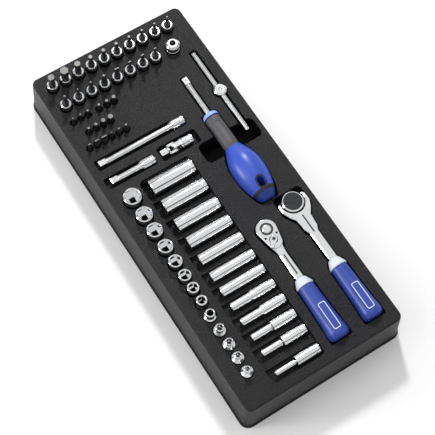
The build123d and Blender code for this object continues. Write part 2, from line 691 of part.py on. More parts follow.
with BuildPart() as universal_male:
    reach = fork_gap + 2.0
    turn(
        along_x(UNIVERSAL_CROSS_X - reach, UNIVERSAL_Y, BAR_AXIS_Z),
        [(0, fork_ring - 1.4), (0.8, fork_ring - 0.4), (1.6, fork_ring), (2.0, fork_ring - 0.2)],
    )
    fork_ears(-1, (0, 1, 0))
    drive_square(
        Plane(origin=(UNIVERSAL_CROSS_X - reach, UNIVERSAL_Y, BAR_AXIS_Z), x_dir=(0, 0, 1), z_dir=(-1, 0, 0)),
        7.4,
    )
save(universal_male.part, "universal_male_fork")

# ---------------------------------------------------------------- T-handle

bar_length = T_BAR_Y[1] - T_BAR_Y[0]
bar_radius = T_BAR_DIAMETER / 2
with BuildPart() as t_bar:
    turn(
        along_y(T_X, T_BAR_Y[1], T_AXIS_Z),
        [(0, bar_radius - 0.7), (0.7, bar_radius), (3.0, bar_radius), (3.3, bar_radius - 0.35),
         (4.3, bar_radius - 0.35), (4.6, bar_radius), (bar_length - 4.6, bar_radius),
         (bar_length - 4.3, bar_radius - 0.35), (bar_length - 3.3, bar_radius - 0.35),
         (bar_length - 3.0, bar_radius), (bar_length - 0.7, bar_radius), (bar_length, bar_radius - 0.7)],
    )
save(t_bar.part, "t_handle_bar")

head_radius = T_HEAD_DIAMETER / 2
with BuildPart() as t_head:
    height = T_HEAD_Z[1] - T_HEAD_Z[0]
    turn(
        upright(T_X, T_HEAD_Y, T_HEAD_Z[0]),
        [(0, head_radius - 1.2), (1.2, head_radius), (height - 1.4, head_radius),
         (height, head_radius - 1.4)],
    )
    with BuildSketch(Plane(origin=(T_X, T_HEAD_Y - head_radius - 1, T_AXIS_Z), z_dir=(0, 1, 0))):
        Circle(bar_radius + 0.06)
    extrude(amount=2 * head_radius + 2, mode=Mode.SUBTRACT)
    drive_square(Plane(origin=(T_X, T_HEAD_Y, T_HEAD_Z[0]), z_dir=(0, 0, -1)), T_SQUARE_LENGTH)
    with Locations((T_X, T_HEAD_Y, T_HEAD_Z[1] + 2.2)):
        Sphere(3.0, mode=Mode.SUBTRACT)
save(t_head.part, "t_handle_head")

# ---------------------------------------------------------------- spinner handle

with BuildPart() as spinner_shank:
    shank_radius = SPINNER_SHANK / 2
    square = 9.0
    buried = SPINNER_TIP_Y - SPINNER_NECK_Y + SPINNER_BURIED
    turn(
        along_y(SPINNER_X, SPINNER_TIP_Y, SPINNER_AXIS_Z),
        [(square, shank_radius - 0.5), (square + 0.5, shank_radius + 0.4), (square + 4.0, shank_radius + 0.4),
         (square + 5.0, shank_radius), (buried, shank_radius)],
    )
    drive_square(
        Plane(origin=(SPINNER_X, SPINNER_TIP_Y - square, SPINNER_AXIS_Z), x_dir=(0, 0, 1), z_dir=(0, 1, 0)),
        square,
    )
save(spinner_shank.part, "spinner_shank")

core_radius = SPINNER_CORE_DIAMETER / 2
flat_reach = core_radius + 1.4
with BuildPart() as spinner_core:
    near = SPINNER_NECK_Y - SPINNER_CORE_Y[1]
    far = SPINNER_NECK_Y - SPINNER_CORE_Y[0]
    turn(
        along_y(SPINNER_X, SPINNER_NECK_Y, SPINNER_AXIS_Z),
        [(near, core_radius - 1.0), (near + 1.0, core_radius), (far - 4.0, core_radius),
         (far, core_radius - 0.6)],
    )
    # the bore that the grip's stem fills
    with BuildSketch(Plane(origin=(SPINNER_X, SPINNER_NECK_Y, SPINNER_AXIS_Z), z_dir=(0, -1, 0))):
        Circle(SPINNER_STEM)
    extrude(amount=60.0, mode=Mode.SUBTRACT)
    # four shallow flats
    for turned in (0, 90, 180, 270):
        angle = radians(turned)
        flat = Plane(
            origin=(SPINNER_X + flat_reach * cos(angle), 52.0, SPINNER_AXIS_Z + flat_reach * sin(angle)),
            x_dir=(0, 1, 0),
            z_dir=(-cos(angle), 0, -sin(angle)),
        )
        with BuildSketch(flat):
            SlotOverall(26.0, 5.0)
        extrude(amount=2.0, mode=Mode.SUBTRACT)
save(spinner_core.part, "spinner_core")

with BuildPart() as spinner_grip:
    front = SPINNER_CORE_Y[0]
    back = front - SPINNER_END_Y
    grip = SPINNER_GRIP_DIAMETER / 2
    turn_curve(
        along_y(SPINNER_X, front, SPINNER_AXIS_Z),
        [(0, core_radius + 0.6), (9.0, 13.0), (19.0, grip - 0.9), (29.0, grip), (41.0, grip - 0.7),
         (53.0, 13.9), (62.0, 10.6), (back, 7.0)],
    )
    # front collar, where the shank enters
    turn(
        along_y(SPINNER_X, SPINNER_NECK_Y, SPINNER_AXIS_Z),
        [(0, 6.0), (1.4, 8.0), (SPINNER_NECK_Y - SPINNER_CORE_Y[1], 9.0)],
    )
    # stem through the core, bored for the shank
    turn(
        along_y(SPINNER_X, SPINNER_NECK_Y, SPINNER_AXIS_Z),
        [(1.0, SPINNER_STEM), (SPINNER_NECK_Y - front + 1.0, SPINNER_STEM)],
    )
    with BuildSketch(Plane(origin=(SPINNER_X, SPINNER_NECK_Y, SPINNER_AXIS_Z), z_dir=(0, -1, 0))):
        Circle(SPINNER_SHANK / 2)
    extrude(amount=SPINNER_BURIED, mode=Mode.SUBTRACT)
    # hanging hole
    with BuildSketch(Plane(origin=(SPINNER_X, SPINNER_HOLE_Y, SPINNER_AXIS_Z - 20))):
        SlotOverall(11.0, 7.4, rotation=90)
    extrude(amount=40, mode=Mode.SUBTRACT)
save(spinner_grip.part, "spinner_grip")

# ---------------------------------------------------------------- ratchets

def handle_grip(axis_x, ends, axis_z, name):
    """Blue grip of a ratchet: a gentle taper with a raised plain plate on top."""
    front, butt = ends
    length = front - butt
    small, large = GRIP_DIAMETERS[0] / 2, GRIP_DIAMETERS[1] / 2
    with BuildPart() as grip_part:
        turn(
            along_y(axis_x, front, axis_z),
            [(0, small - 0.8), (0.8, small), (length * 0.3, small + 0.5), (length * 0.7, large - 1.0),
             (length - 6.0, large), (length - 3.0, large - 0.6), (length - 1.0, large - 2.0),
             (length, large - 4.4)],
        )
        with BuildSketch(Plane.XY.offset(axis_z)):
            with Locations((axis_x, butt + 23.0)):
                RectangleRounded(8.6, 31.0, 2.0)
        extrude(amount=large + 0.25)
        # the tang's hole
        with BuildSketch(Plane(origin=(axis_x, front, axis_z), z_dir=(0, -1, 0))):
            RectangleRounded(TANG_WIDTH, TANG_THICKNESS, 1.5)
        extrude(amount=TANG_LENGTH, mode=Mode.SUBTRACT)
    save(grip_part.part, name)


def handle_collar(axis_x, collar_y, front, axis_z, name):
    """Pale collar between a ratchet's neck and its grip."""
    length = collar_y - front
    with BuildPart() as collar:
        turn(
            along_y(axis_x, collar_y, axis_z),
            [(0, 5.9), (1.0, 6.6), (length * 0.45, 8.0), (length * 0.75, 9.4), (length - 0.8, 9.6),
             (length, 9.2)],
        )
        with BuildSketch(Plane(origin=(axis_x, collar_y, axis_z), z_dir=(0, -1, 0))):
            RectangleRounded(TANG_WIDTH, TANG_THICKNESS, 1.5)
        extrude(amount=length, mode=Mode.SUBTRACT)
    save(collar.part, name)


def tang(axis_x, collar_y, front, axis_z):
    """The part of a ratchet's body that the collar and grip are pressed on."""
    end = front - TANG_LENGTH
    with BuildSketch(Plane(origin=(axis_x, collar_y, axis_z), z_dir=(0, -1, 0))) as section:
        RectangleRounded(TANG_WIDTH, TANG_THICKNESS, 1.5)
    extrude(section.sketch, amount=collar_y - end)


def neck_groove(axis_x, ends, half_thick):
    """Groove along a ratchet's neck, on its upper and its lower face."""
    far, near = ends
    width, depth = NECK_GROOVE
    for side in (-1, 1):
        face = Plane(
            origin=(axis_x, (far + near) / 2, RATCHET_AXIS_Z + side * half_thick),
            x_dir=(0, 1, 0),
            z_dir=(0, 0, side),
        )
        with BuildSketch(face) as groove:
            SlotOverall(far - near, width)
        extrude(groove.sketch, amount=-depth, mode=Mode.SUBTRACT)


def gear(centre_x, centre_y, low, high, radius):
    """Drive gear with small round-bottomed teeth."""
    with BuildSketch(Plane.XY.offset(low)) as toothed:
        with Locations((centre_x, centre_y)):
            Circle(radius)
            with PolarLocations(radius + 0.15, GEAR_TEETH):
                Circle(0.45, mode=Mode.SUBTRACT)
    extrude(toothed.sketch, amount=high - low)


cavity_radius = 8.2
cavity_z = (RATCHET_HEAD_Z[0] + 1.5, RATCHET_HEAD_Z[1] - 1.4)
pawl_pocket = 5.0
head_at = (RATCHET_X, RATCHET_HEAD_Y)
lever_at = (RATCHET_X, RATCHET_LEVER_Y)


def pear(inset):
    """Outline of the ratchet's head: a large circle and a small one with tangent flanks."""
    with BuildSketch(Plane.XY) as outline:
        with Locations(head_at):
            Circle(RATCHET_HEAD_RADIUS - inset)
        with Locations((RATCHET_X, RATCHET_LEVER_Y - 2.0)):
            Circle(8.0 - inset)
        make_hull()
    return outline.sketch


flanks = strip(
    RATCHET_X,
    [(RATCHET_LEVER_Y - 4.0, 7.4), (RATCHET_LEVER_Y - 11.0, 5.0), (RATCHET_LEVER_Y - 18.0, 4.3),
     (RATCHET_COLLAR_Y, 4.6)],
    2.0,
)
with BuildPart() as neck:
    with BuildSketch(Plane.XY.offset(RATCHET_AXIS_Z - NECK_HALF_THICK)):
        add(flanks)
    extrude(amount=2 * NECK_HALF_THICK)
    chamfer(neck.edges().group_by(Axis.Z)[0] + neck.edges().group_by(Axis.Z)[-1], NECK_BEVEL)
    neck_groove(RATCHET_X, NECK_GROOVE_Y, NECK_HALF_THICK)

with BuildPart() as ratchet_body:
    with BuildSketch(Plane.XY.offset(RATCHET_HEAD_Z[0])):
        add(pear(0))
    extrude(amount=RATCHET_HEAD_Z[1] - RATCHET_HEAD_Z[0])
    fillet(ratchet_body.edges().group_by(Axis.Z)[0] + ratchet_body.edges().group_by(Axis.Z)[-1], 1.2)
    add(neck.part)
    tang(RATCHET_X, RATCHET_COLLAR_Y, RATCHET_GRIP_Y[0], RATCHET_AXIS_Z)
    # recess of the cover plate, cavity of the gear and pawl, hole for the square
    with BuildSketch(Plane.XY.offset(cavity_z[1])):
        add(pear(1.7))
    extrude(amount=5, mode=Mode.SUBTRACT)
    with BuildSketch(Plane.XY.offset(cavity_z[0])):
        with Locations(head_at):
            Circle(cavity_radius)
        with Locations(lever_at):
            Circle(pawl_pocket)
    extrude(amount=10, mode=Mode.SUBTRACT)
    with BuildSketch(Plane.XY.offset(RATCHET_HEAD_Z[0] - 1)):
        with Locations(head_at):
            Circle(5.1)
    extrude(amount=5, mode=Mode.SUBTRACT)
save(ratchet_body.part, "ratchet_body")

screw_spots = [(RATCHET_X - 6.5, RATCHET_HEAD_Y - 8.4), (RATCHET_X + 6.5, RATCHET_HEAD_Y - 8.4)]
with BuildPart() as ratchet_cover:
    with BuildSketch(Plane.XY.offset(cavity_z[1])):
        add(pear(1.75))
        with Locations(head_at):
            Circle(6.9, mode=Mode.SUBTRACT)
        with Locations(lever_at):
            Circle(2.15, mode=Mode.SUBTRACT)
        with Locations(*screw_spots):
            Circle(1.25, mode=Mode.SUBTRACT)
    extrude(amount=RATCHET_HEAD_Z[1] - cavity_z[1])
save(ratchet_cover.part, "ratchet_cover")

with BuildPart() as ratchet_screws:
    for x, y in screw_spots:
        turn(upright(x, y, cavity_z[1]), [(0, 1.2), (RATCHET_HEAD_Z[1] - cavity_z[1] - 0.25, 1.2)])
        with BuildSketch(Plane(origin=(x, y, RATCHET_HEAD_Z[1] - 0.25), z_dir=(0, 0, -1))):
            RegularPolygon(radius=0.65, side_count=6, major_radius=False)
        extrude(amount=0.7, mode=Mode.SUBTRACT)
save(ratchet_screws.part, "ratchet_screws")

with BuildPart() as ratchet_drive:
    gear(*head_at, cavity_z[0] + 0.15, cavity_z[1] - 0.2, 7.9)
    turn(
        upright(RATCHET_X, RATCHET_HEAD_Y, cavity_z[1] - 0.25),
        [(0, 6.75), (RATCHET_HEAD_Z[1] - cavity_z[1] + 0.2, 6.75),
         (RATCHET_HEAD_Z[1] - cavity_z[1] + 0.6, 6.35)],
    )
    turn(
        upright(RATCHET_X, RATCHET_HEAD_Y, RATCHET_HEAD_Z[0]),
        [(0, 5.0), (cavity_z[0] + 0.2 - RATCHET_HEAD_Z[0], 5.0)],
    )
    drive_square(Plane(origin=(*head_at, RATCHET_HEAD_Z[0]), z_dir=(0, 0, -1)), RATCHET_SQUARE_LENGTH)
    # well of the release button
    with BuildSketch(Plane.XY.offset(46.0)):
        with Locations(head_at):
            Circle(4.75)
    extrude(amount=10, mode=Mode.SUBTRACT)
save(ratchet_drive.part, "ratchet_drive_gear")

with BuildPart() as ratchet_button:
    turn(upright(*head_at, 48.2), [(0, 4.65), (4.4, 4.65), (5.0, 4.0), (5.2, 2.6), (5.1, 1.4)])
save(ratchet_button.part, "ratchet_release_button")

with BuildPart() as ratchet_pawl:
    with BuildSketch(Plane.XY.offset(cavity_z[0] + 0.2)):
        with Locations(lever_at):
            Circle(4.5)
        with Locations(head_at):
            Circle(9.1, mode=Mode.SUBTRACT)
    extrude(amount=cavity_z[1] - cavity_z[0] - 0.5)
save(ratchet_pawl.part, "ratchet_pawl")

with BuildPart() as ratchet_lever:
    turn(upright(*lever_at, cavity_z[1] - 0.15), [(0, 2.05), (RATCHET_HEAD_Z[1] - cavity_z[1] + 0.3, 2.05)])
    arm = Plane(
        origin=(*lever_at, RATCHET_HEAD_Z[1] + 0.15),
        x_dir=(cos(radians(LEVER_ANGLE)), sin(radians(LEVER_ANGLE)), 0),
        z_dir=(0, 0, 1),
    )
    with BuildSketch(arm):
        Circle(3.8)
        with Locations((8.6, 0)):
            Circle(1.9)
        make_hull()
    extrude(amount=1.9)
    fillet(ratchet_lever.edges().group_by(Axis.Z)[-1], 0.7)
save(ratchet_lever.part, "ratchet_reversing_lever")

handle_collar(RATCHET_X, RATCHET_COLLAR_Y, RATCHET_GRIP_Y[0], RATCHET_AXIS_Z, "ratchet_collar")
handle_grip(RATCHET_X, RATCHET_GRIP_Y, RATCHET_AXIS_Z, "ratchet_grip")

# Flex-head ratchet: the round head tilts on two pins between the arms of the fork.
flex_centre = (FLEX_X, FLEX_HEAD_Y)
pin_hole_reach = 9.3         # the pins enter the head from here outwards
with BuildPart() as flex_fork:
    fork = strip(
        FLEX_X,
        [(FLEX_HEAD_Y + 4.2, FLEX_FORK_HALF - 0.3), (FLEX_HEAD_Y - 6.0, FLEX_FORK_HALF), (-64.0, 12.6),
         (-70.0, 8.4), (-83.0, 7.2), (-89.0, 4.8), (FLEX_COLLAR_Y, 4.7)],
        2.0,
    )
    with BuildSketch(Plane.XY.offset(RATCHET_AXIS_Z - FLEX_HALF_THICK)):
        add(fork)
        with Locations(flex_centre):
            Circle(FLEX_CROTCH, mode=Mode.SUBTRACT)
        with Locations((FLEX_X, FLEX_HEAD_Y + 10)):
            Rectangle(2 * FLEX_CROTCH - 0.6, 20, mode=Mode.SUBTRACT)
    extrude(amount=2 * FLEX_HALF_THICK)
    chamfer(
        flex_fork.edges().group_by(Axis.Z)[0] + flex_fork.edges().group_by(Axis.Z)[-1], FORK_BEVEL
    )
    neck_groove(FLEX_X, FLEX_GROOVE_Y, FLEX_HALF_THICK)
    tang(FLEX_X, FLEX_COLLAR_Y, FLEX_GRIP_Y[0], RATCHET_AXIS_Z)
    pin_axis = Plane(origin=(FLEX_X - 20, FLEX_HEAD_Y, RATCHET_AXIS_Z), x_dir=(0, 1, 0), z_dir=(1, 0, 0))
    with BuildSketch(pin_axis):
        Circle(FLEX_PIN / 2)
    extrude(amount=40, mode=Mode.SUBTRACT)
save(flex_fork.part, "flex_ratchet_fork")

with BuildPart() as flex_pins:
    for side in (-1, 1):
        start = Plane(
            origin=(FLEX_X + side * pin_hole_reach, FLEX_HEAD_Y, RATCHET_AXIS_Z),
            x_dir=(0, 1, 0),
            z_dir=(side, 0, 0),
        )
        with BuildSketch(start):
            Circle(FLEX_PIN / 2)
        extrude(amount=FLEX_FORK_HALF - 0.3 - pin_hole_reach)
save(flex_pins.part, "flex_ratchet_hinge_pins")

flex_low = RATCHET_AXIS_Z - FLEX_HEAD_HALF
flex_high = RATCHET_AXIS_Z + FLEX_HEAD_HALF
flex_cavity = 7.7
flex_cavity_z = (flex_low + 1.0, flex_high - 1.9)
disc_radius = 9.8
with BuildPart() as flex_head:
    turn(
        upright(*flex_centre, flex_low),
        [(0, FLEX_HEAD_RADIUS - 0.9), (0.9, FLEX_HEAD_RADIUS), (2 * FLEX_HEAD_HALF - 0.8, FLEX_HEAD_RADIUS),
         (2 * FLEX_HEAD_HALF, FLEX_HEAD_RADIUS - 0.8)],
    )
    with BuildSketch(Plane.XY.offset(flex_cavity_z[0])):
        with Locations(flex_centre):
            Circle(flex_cavity)
    extrude(amount=20, mode=Mode.SUBTRACT)
    with BuildSketch(Plane.XY.offset(flex_cavity_z[1])):
        with Locations(flex_centre):
            Circle(disc_radius + 0.1)
    extrude(amount=20, mode=Mode.SUBTRACT)
    with BuildSketch(Plane.XY.offset(flex_low - 1)):
        with Locations(flex_centre):
            Circle(5.1)
    extrude(amount=5, mode=Mode.SUBTRACT)
    for side in (-1, 1):
        start = Plane(
            origin=(FLEX_X + side * (pin_hole_reach - 0.3), FLEX_HEAD_Y, RATCHET_AXIS_Z),
            x_dir=(0, 1, 0),
            z_dir=(side, 0, 0),
        )
        with BuildSketch(start):
            Circle(FLEX_PIN / 2 + 0.05)
        extrude(amount=4, mode=Mode.SUBTRACT)
save(flex_head.part, "flex_ratchet_head")

with BuildPart() as flex_drive:
    gear(*flex_centre, flex_cavity_z[0] + 0.15, flex_cavity_z[1] - 0.15, 7.4)
    turn(upright(*flex_centre, flex_low), [(0, 5.0), (1.2, 5.0)])
    square_length = FLEX_TIP - FLEX_HEAD_HALF
    drive_square(Plane(origin=(*flex_centre, flex_low), z_dir=(0, 0, -1)), square_length)
save(flex_drive.part, "flex_ratchet_drive_gear")

with BuildPart() as flex_disc:
    turn(
        upright(*flex_centre, flex_cavity_z[1] + 0.05),
        [(0, disc_radius), (1.6, disc_radius), (2.0, disc_radius - 0.5)],
    )
    with BuildSketch(Plane.XY.offset(flex_cavity_z[1] + 2.05)):
        with Locations(flex_centre):
            Circle(3.2)
            Circle(2.8, mode=Mode.SUBTRACT)
    extrude(amount=-0.3, mode=Mode.SUBTRACT)
    # two finger dimples for turning it
    for side in (-1, 1):
        with Locations((FLEX_X + side * 6.4, FLEX_HEAD_Y, flex_cavity_z[1] + 4.0)):
            Sphere(2.6, mode=Mode.SUBTRACT)
save(flex_disc.part, "flex_ratchet_reversing_disc")

handle_collar(FLEX_X, FLEX_COLLAR_Y, FLEX_GRIP_Y[0], RATCHET_AXIS_Z, "flex_ratchet_collar")
handle_grip(FLEX_X, FLEX_GRIP_Y, RATCHET_AXIS_Z, "flex_ratchet_grip")
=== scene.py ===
"""Quarter-inch socket set in its moulded drawer tray: finishes, small pieces, floor and light."""

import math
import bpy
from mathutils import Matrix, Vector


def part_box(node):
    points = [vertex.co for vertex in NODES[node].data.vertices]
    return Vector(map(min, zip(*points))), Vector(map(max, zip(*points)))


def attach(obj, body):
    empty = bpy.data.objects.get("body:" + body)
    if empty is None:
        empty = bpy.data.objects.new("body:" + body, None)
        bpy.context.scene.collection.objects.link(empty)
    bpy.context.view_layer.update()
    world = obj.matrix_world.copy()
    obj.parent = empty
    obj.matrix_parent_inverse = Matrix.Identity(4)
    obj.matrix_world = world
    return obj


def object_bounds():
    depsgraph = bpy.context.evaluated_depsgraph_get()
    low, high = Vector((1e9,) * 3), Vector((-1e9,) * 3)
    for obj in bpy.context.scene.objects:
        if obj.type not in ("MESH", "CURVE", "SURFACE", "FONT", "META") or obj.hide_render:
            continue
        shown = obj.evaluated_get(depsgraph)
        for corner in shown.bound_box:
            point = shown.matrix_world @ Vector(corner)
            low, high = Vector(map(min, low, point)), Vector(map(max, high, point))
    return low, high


bl_info = {
    "name": "Socket Set in Drawer Tray",
    "version": (1, 0, 0),
    "blender": (4, 5, 0),
    "location": "View3D > Sidebar > Socket Set",
    "description": "Finishes, grips, small pieces, floor and light of a quarter-inch socket set",
    "category": "Object",
}

import bmesh
import bpy
from bpy.props import FloatProperty, PointerProperty, StringProperty
from mathutils import Matrix, Vector
from mathutils.bvhtree import BVHTree

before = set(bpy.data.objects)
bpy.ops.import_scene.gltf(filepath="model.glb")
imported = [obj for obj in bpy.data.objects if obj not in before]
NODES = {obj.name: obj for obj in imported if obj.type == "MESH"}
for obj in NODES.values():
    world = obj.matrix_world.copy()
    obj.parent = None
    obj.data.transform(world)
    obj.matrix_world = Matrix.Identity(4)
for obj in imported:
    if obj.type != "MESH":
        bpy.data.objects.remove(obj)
CAD_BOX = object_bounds()
MM = 0.001
# the small short sockets, whose hexagon bore is blind and gets painted shade on its floor: size, and width
# across its flats in mm
BLIND_BORES = (("5_5mm", 5.6), ("5mm", 5.1), ("4_5mm", 4.6), ("4mm", 4.1))
# the studio from horizon to zenith: sine of the height, and how bright the wall is there
STUDIO_BANDS = ((0.0, 0.03), (0.16, 0.06), (0.24, 0.75), (0.52, 0.95), (0.60, 0.10), (0.71, 0.07),
                (0.79, 1.05), (1.0, 1.15))
# name, place and width in metres, and power as a share of the key light's
LIGHTS = (
    ("key", (0.48, 1.02, 1.25), 0.22, 1.0),
    ("fill", (-1.1, 0.3, 1.2), 0.9, 0.2),
    ("rim", (-1.25, 0.42, 0.42), 0.35, 0.4),
)
FLOOR_HALF_WIDTH = 4.0
TRAY_TOP = 48.0 * MM
# height over which black oxide stays dark everywhere: above every piece
NO_BARE_TIP = 1.0
# bare steel at the end of a bit, from its top: ground back on a socketed bit, a rubbed edge on a loose one
SOCKETED_TIP, LOOSE_TIP = 0.45 * MM, 0.15 * MM
# widths of the slow changes in a finish
STRETCH_PATCH = 35.7 * MM
PLATE_HAZE = 7.14 * MM
FLOW_MARK = 16.7 * MM
# how much paler a moulding is where the plastic flowed last
FLOW_PALER = 1.15
# roughness of a satin moulding
SATIN = 0.36
# etched grain of black oxide; the real one is a tenth of this, and would not show
OXIDE_GRAIN = 1.11 * MM
# raised plate of a ratchet grip: its middle from the grip's end, and how far its frame stands in
PLATE_FROM_END = 23.0 * MM
FRAME_INSET = 0.25 * MM
FRAME_CORNER = 1.9 * MM
# from the ratchet's drive back to the lever's pivot
LEVER_BEHIND_DRIVE = 13.0 * MM


# ---------------------------------------------------------------- sizes and colours

class SocketSetColours(bpy.types.PropertyGroup):
    """Colours of the set, as sRGB hex values."""

    abs_black: StringProperty(name="Tray", description="Moulded ABS of the tray", default="#161618")
    chrome: StringProperty(name="Chrome", description="Chrome plate over steel", default="#eaebec")
    steel: StringProperty(name="Steel", description="Ground bare steel", default="#a9a8a4")
    bit_tip: StringProperty(name="Bit tip", description="Ground end of a bit", default="#5a5957")
    # its black is also painted shade in neck grooves, blind bores and on the lever's pin
    oxide: StringProperty(name="Black oxide", description="Black oxide on bit steel", default="#303033")
    grip_blue: StringProperty(name="Grip blue", description="Blue polypropylene", default="#2b4297")
    bulb_blue: StringProperty(
        name="Spinner blue", description="Brighter blue of the spinner's bulb", default="#304cb0"
    )
    cap_blue: StringProperty(
        name="End cap blue", description="Darker blue end of the spinner", default="#1d3080"
    )
    front_blue: StringProperty(
        name="Front collar blue", description="Pale blue collar of the spinner", default="#8fa6e6"
    )
    core_grey: StringProperty(name="Core grey", description="Soft grey sleeve", default="#49494c")
    # also the black of the painted shade round the ratchet's button and under its lever
    band_black: StringProperty(name="Band", description="Soft band round the hanging hole", default="#1a1b1d")
    disc_black: StringProperty(
        name="Disc", description="Glossy reversing disc of the flexible head", default="#1b1c1f"
    )
    collar_grey: StringProperty(name="Collar grey", description="Pale nylon collars", default="#c9ced8")
    label_pale: StringProperty(name="Label frame", description="Printed frame on a grip", default="#c7d2f4")
    floor: StringProperty(name="Floor", description="Studio floor", default="#fbfbfb")


class SocketSetSizes(bpy.types.PropertyGroup):
    """Sizes of the finish and of the small pieces, in metres unless a description says otherwise."""

    pebble: FloatProperty(
        name="Pebble", description="Width of one pebble of the tray's grain", default=1.5 * MM, unit="LENGTH"
    )
    pebble_depth: FloatProperty(
        name="Pebble depth", description="Height of the tray's grain", default=0.6 * MM, unit="LENGTH"
    )
    # a sand-blasted mould's grain is about 0.1 mm and ground marks 0.05 mm: both are drawn coarser, to show
    sand_grain: FloatProperty(
        name="Sand grain", description="Grain of a sand-blasted grip", default=0.35 * MM, unit="LENGTH"
    )
    grind_pitch: FloatProperty(
        name="Grinding marks", description="Distance between the marks of turned steel", default=0.25 * MM,
        unit="LENGTH",
    )
    label_width: FloatProperty(
        name="Label width", description="Outside width of a grip's label frame", default=8.6 * MM,
        unit="LENGTH",
    )
    label_length: FloatProperty(
        name="Label length", description="Outside length of a grip's label frame", default=31.0 * MM,
        unit="LENGTH",
    )
    # painted shade: width of the dark strip along the bottom of a neck groove
    groove_shade_width: FloatProperty(
        name="Groove shade", description="Width of the dark line in a ratchet's neck", default=1.5 * MM,
        unit="LENGTH",
    )
    label_line: FloatProperty(
        name="Label line", description="Width of the frame's line", default=0.9 * MM, unit="LENGTH"
    )


class SocketSetStudio(bpy.types.PropertyGroup):
    """Camera and light."""

    azimuth: FloatProperty(
        name="Azimuth", description="Where the camera stands, round the set; 0 looks along +Y",
        default=math.radians(-36.17), subtype="ANGLE",
    )
    elevation: FloatProperty(
        name="Elevation", description="Height of the camera over the set", default=math.radians(66.38),
        subtype="ANGLE",
    )
    roll: FloatProperty(
        name="Roll", description="How far the camera leans", default=math.radians(-3.95), subtype="ANGLE"
    )
    distance: FloatProperty(
        name="Distance", description="From the camera to the point it aims at", default=1.2368, unit="LENGTH"
    )
    aim_x: FloatProperty(
        name="Aim X", description="Aim point, from the middle of the tray", default=-0.0068, unit="LENGTH"
    )
    aim_y: FloatProperty(
        name="Aim Y", description="Aim point, from the middle of the tray", default=-0.0244, unit="LENGTH"
    )
    lens: FloatProperty(name="Lens", description="Focal length in millimetres", default=102.4)
    key_power: FloatProperty(name="Key light", description="Power of the key light, in watts", default=17.0)
    sky: FloatProperty(name="Studio white", description="Strength of the white surround", default=0.85)


def colours():
    """The scene's own colours, which the panel shows."""
    return bpy.context.scene.socket_set_colours


def sizes():
    """The scene's own sizes, which the panel shows."""
    return bpy.context.scene.socket_set_sizes


def linear(hex_colour):
    """sRGB hex value as a linear RGBA colour."""
    parts = [int(hex_colour[place : place + 2], 16) / 255 for place in (1, 3, 5)]
    return (*[v / 12.92 if v <= 0.04045 else ((v + 0.055) / 1.055) ** 2.4 for v in parts], 1.0)


# ---------------------------------------------------------------- materials

def add_node(tree, kind, inputs=None, **settings):
    """Adds a node with its settings; an input is a value, or the socket that feeds it."""
    made = tree.nodes.new(kind)
    for name, value in settings.items():
        setattr(made, name, value)
    for name, value in (inputs or {}).items():
        if isinstance(value, bpy.types.NodeSocket):
            tree.links.new(value, made.inputs[name])
        else:
            made.inputs[name].default_value = value
    return made


def new_material(name, **shader):
    """A named material and its shader; the shader's sockets are set by name."""
    made = bpy.data.materials.get(name)
    if made:
        return made, None, None
    made = bpy.data.materials.new(name)
    made.use_nodes = True
    tree = made.node_tree
    principled = tree.nodes["Principled BSDF"]
    for socket, value in shader.items():
        principled.inputs[socket.replace("_", " ")].default_value = value
    return made, tree, principled


def position(tree):
    """Position on the piece, in metres."""
    return add_node(tree, "ShaderNodeTexCoord").outputs["Object"]


def two_tone(tree, factor, low, high):
    """Mixes two colours; each is a value, or the socket that feeds it."""
    mix = add_node(tree, "ShaderNodeMix", {"Factor": factor}, data_type="RGBA")
    for socket, colour in ((mix.inputs[6], low), (mix.inputs[7], high)):
        if isinstance(colour, bpy.types.NodeSocket):
            tree.links.new(colour, socket)
        else:
            socket.default_value = colour
    return mix.outputs[2]


def shaded(colour, share):
    """A linear colour made darker or paler."""
    return (*[min(1.0, channel * share) for channel in colour[:3]], 1.0)


def pebbled_abs():
    """ABS, vacuum-formed over a pebbled mould: dull black, with a broad soft sheen on its grain."""
    made, tree, shader = new_material(
        "ABS pebbled black", Roughness=0.42, IOR=1.53, Specular_IOR_Level=0.25
    )
    if tree is None:
        return made
    base = linear(colours().abs_black)
    spot = position(tree)
    pebbles = add_node(
        tree, "ShaderNodeTexVoronoi", {"Vector": spot, "Scale": 1 / sizes().pebble, "Smoothness": 0.6},
        feature="SMOOTH_F1",
    )
    fine = add_node(
        tree, "ShaderNodeTexNoise", {"Vector": spot, "Scale": 1 / (0.5 * sizes().pebble), "Detail": 3.0}
    )
    height = add_node(
        tree, "ShaderNodeMath", {0: pebbles.outputs["Distance"], 1: fine.outputs["Fac"]}, operation="ADD"
    )
    bump = add_node(
        tree, "ShaderNodeBump",
        {"Height": height.outputs[0], "Strength": 1.0, "Distance": sizes().pebble_depth},
    )
    tree.links.new(bump.outputs["Normal"], shader.inputs["Normal"])
    # the sheet is a little paler where it stretched, in patches a few centimetres wide
    patches = add_node(
        tree, "ShaderNodeTexNoise", {"Vector": spot, "Scale": 1 / STRETCH_PATCH, "Detail": 4.0}
    )
    paler = shaded(base, 1.35)
    tree.links.new(two_tone(tree, patches.outputs["Fac"], base, paler), shader.inputs["Base Color"])
    rough = add_node(
        tree, "ShaderNodeMapRange",
        {"Value": fine.outputs["Fac"], "From Min": 0.3, "From Max": 0.7, "To Min": 0.34, "To Max": 0.50},
    )
    tree.links.new(rough.outputs["Result"], shader.inputs["Roughness"])
    return made


